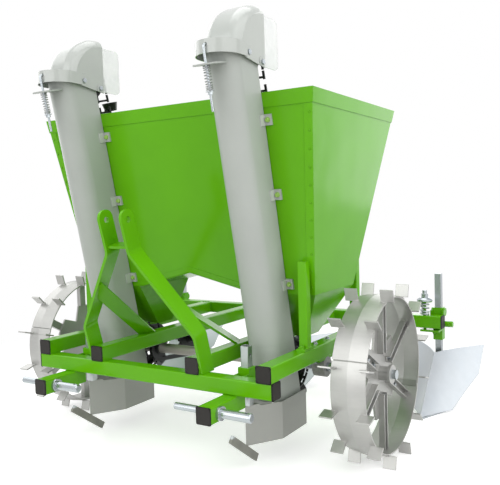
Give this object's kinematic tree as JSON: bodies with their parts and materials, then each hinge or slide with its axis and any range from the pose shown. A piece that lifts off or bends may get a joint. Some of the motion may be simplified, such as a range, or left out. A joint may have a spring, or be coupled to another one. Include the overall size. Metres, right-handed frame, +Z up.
{
  "type": "potato planter",
  "caption": "Tractor-mounted row-crop potato planter: sheet hopper, cup chains in leaning planting tubes, cleated drive wheels, furrow openers and sprung ridging bodies.",
  "frame": {"origin": "on the ground under the middle of the whole machine", "axes": "+Z up, -Y towards the tractor (front), +X to the viewer's right seen from the front"},
  "size_m": [1.612, 1.3686, 1.441],
  "materials": {
    "green_paint": "glossy powder coat",
    "black_plastic": "moulded caps",
    "grey_sheet": "light grey paint",
    "hood_grey": "moulded, slightly glossy",
    "zinc": "bluish zinc plate",
    "yellow_zinc": "yellow passivated zinc",
    "wheel_steel": "bare bright steel",
    "chain_black": "black chain with black cups",
    "opener_steel": "darker grey steel",
    "ridger_zinc": "bluish zinc plate",
    "guard_clear": "translucent white",
    "spring_steel": "zinc-plated spring wire"
  },
  "bodies": {
    "frame": {"front_crossbar": "green_paint", "outer_beams": "green_paint", "inner_beams": "green_paint", "rear_toolbar": "green_paint", "end_caps": "black_plastic", "hitch_stubs": "green_paint", "hitch_pins": "zinc", "mast_legs": "green_paint", "mast_braces": "green_paint", "hopper_front_panel": "green_paint", "hopper_rear_panel": "green_paint", "hopper_side_panels": "green_paint", "hopper_rim": "green_paint", "hopper_floor_ridge": "green_paint", "sumps": "green_paint", "hopper_posts": "green_paint", "planting_tube_left": "grey_sheet", "planting_tube_right": "grey_sheet", "tube_bolts": "yellow_zinc", "hood_pivots": "zinc", "cup_chains": "chain_black", "drive_chains": "chain_black", "axle_bearings": "green_paint", "opener_sleeves": "green_paint", "ridger_lugs": "green_paint", "tension_spring_left": "spring_steel", "tension_spring_right": "spring_steel", "trip_spring_left": "spring_steel", "trip_spring_middle": "spring_steel", "trip_spring_right": "spring_steel"},
    "axle": {"drive_axle": "zinc", "wheel_rims": "wheel_steel", "wheel_cleats": "wheel_steel", "wheel_spokes": "wheel_steel", "wheel_hubs": "zinc", "wheel_bolts": "zinc", "axle_sprocket": "chain_black"},
    "cup_drive": {"drive_sleeve": "zinc", "cup_sprockets": "chain_black"},
    "countershaft": {"countershaft": "chain_black"},
    "hood_left": {"hood_left": "hood_grey", "guard_plates_left": "guard_clear", "tension_rod_left": "zinc", "chain_top_left": "chain_black"},
    "top_wheel_left": {"top_wheel_left": "chain_black"},
    "opener_left": {"opener_shell_left": "opener_steel", "opener_stem_left": "zinc"},
    "hood_right": {"hood_right": "hood_grey", "guard_plates_right": "guard_clear", "tension_rod_right": "zinc", "chain_top_right": "chain_black"},
    "top_wheel_right": {"top_wheel_right": "chain_black"},
    "opener_right": {"opener_shell_right": "opener_steel", "opener_stem_right": "zinc"},
    "holder_left": {"ridger_holder_left": "green_paint"},
    "ridger_left": {"ridger_left": "ridger_zinc"},
    "holder_middle": {"ridger_holder_middle": "green_paint"},
    "ridger_middle": {"ridger_middle": "ridger_zinc"},
    "holder_right": {"ridger_holder_right": "green_paint"},
    "ridger_right": {"ridger_right": "ridger_zinc"}
  },
  "joints": [
    {"name": "axle_spin", "type": "hinge", "parent": "frame", "child": "axle", "pos_m": [0, -0.1633, 0.28077], "axis": [1, 0, 0], "continuous": true},
    {"name": "cup_drive_spin", "type": "hinge", "parent": "frame", "child": "cup_drive", "pos_m": [0, -0.1633, 0.28077], "axis": [1, 0, 0], "continuous": true},
    {"name": "countershaft_spin", "type": "hinge", "parent": "frame", "child": "countershaft", "pos_m": [0, 0.0257, 0.28077], "axis": [1, 0, 0], "continuous": true},
    {"name": "hood_tilt_left", "type": "hinge", "parent": "frame", "child": "hood_left", "pos_m": [-0.3375, -0.4873, 1.282], "axis": [1, 0, 0], "range_deg": [-4, 0], "stiffness_Nm_per_rad": 300, "springref_deg": 4.58, "deforming": ["tension_spring_left"]},
    {"name": "top_wheel_spin_left", "type": "hinge", "parent": "hood_left", "child": "top_wheel_left", "pos_m": [-0.3375, -0.40911, 1.29174], "axis": [1, 0, 0], "continuous": true},
    {"name": "opener_height_left", "type": "slide", "parent": "frame", "child": "opener_left", "axis": [0, 0, 1], "range_m": [-0.05, 0.035]},
    {"name": "hood_tilt_right", "type": "hinge", "parent": "frame", "child": "hood_right", "pos_m": [0.3375, -0.4873, 1.282], "axis": [1, 0, 0], "range_deg": [-4, 0], "stiffness_Nm_per_rad": 300, "springref_deg": 4.58, "deforming": ["tension_spring_right"]},
    {"name": "top_wheel_spin_right", "type": "hinge", "parent": "hood_right", "child": "top_wheel_right", "pos_m": [0.3375, -0.40911, 1.29174], "axis": [1, 0, 0], "continuous": true},
    {"name": "opener_height_right", "type": "slide", "parent": "frame", "child": "opener_right", "axis": [0, 0, 1], "range_m": [-0.05, 0.035]},
    {"name": "ridger_trip_left", "type": "hinge", "parent": "frame", "child": "holder_left", "pos_m": [-0.661, 0.5292, 0.374], "axis": [1, 0, 0], "range_deg": [0, 6], "stiffness_Nm_per_rad": 900, "springref_deg": -17.19, "deforming": ["trip_spring_left"]},
    {"name": "ridger_height_left", "type": "slide", "parent": "holder_left", "child": "ridger_left", "axis": [0, 0, 1], "range_m": [-0.08, 0.03]},
    {"name": "ridger_trip_middle", "type": "hinge", "parent": "frame", "child": "holder_middle", "pos_m": [0, 0.5292, 0.374], "axis": [1, 0, 0], "range_deg": [0, 6], "stiffness_Nm_per_rad": 900, "springref_deg": -17.19, "deforming": ["trip_spring_middle"]},
    {"name": "ridger_height_middle", "type": "slide", "parent": "holder_middle", "child": "ridger_middle", "axis": [0, 0, 1], "range_m": [-0.08, 0.03]},
    {"name": "ridger_trip_right", "type": "hinge", "parent": "frame", "child": "holder_right", "pos_m": [0.661, 0.5292, 0.374], "axis": [1, 0, 0], "range_deg": [0, 6], "stiffness_Nm_per_rad": 900, "springref_deg": -17.19, "deforming": ["trip_spring_right"]},
    {"name": "ridger_height_right", "type": "slide", "parent": "holder_right", "child": "ridger_right", "axis": [0, 0, 1], "range_m": [-0.08, 0.03]}
  ],
  "couplings": [
    {"joint": "cup_drive_spin", "follows": "axle_spin", "ratio": 2},
    {"joint": "countershaft_spin", "follows": "axle_spin", "ratio": 1.4286},
    {"joint": "top_wheel_spin_left", "follows": "axle_spin", "ratio": 3},
    {"joint": "top_wheel_spin_right", "follows": "axle_spin", "ratio": 3}
  ]
}
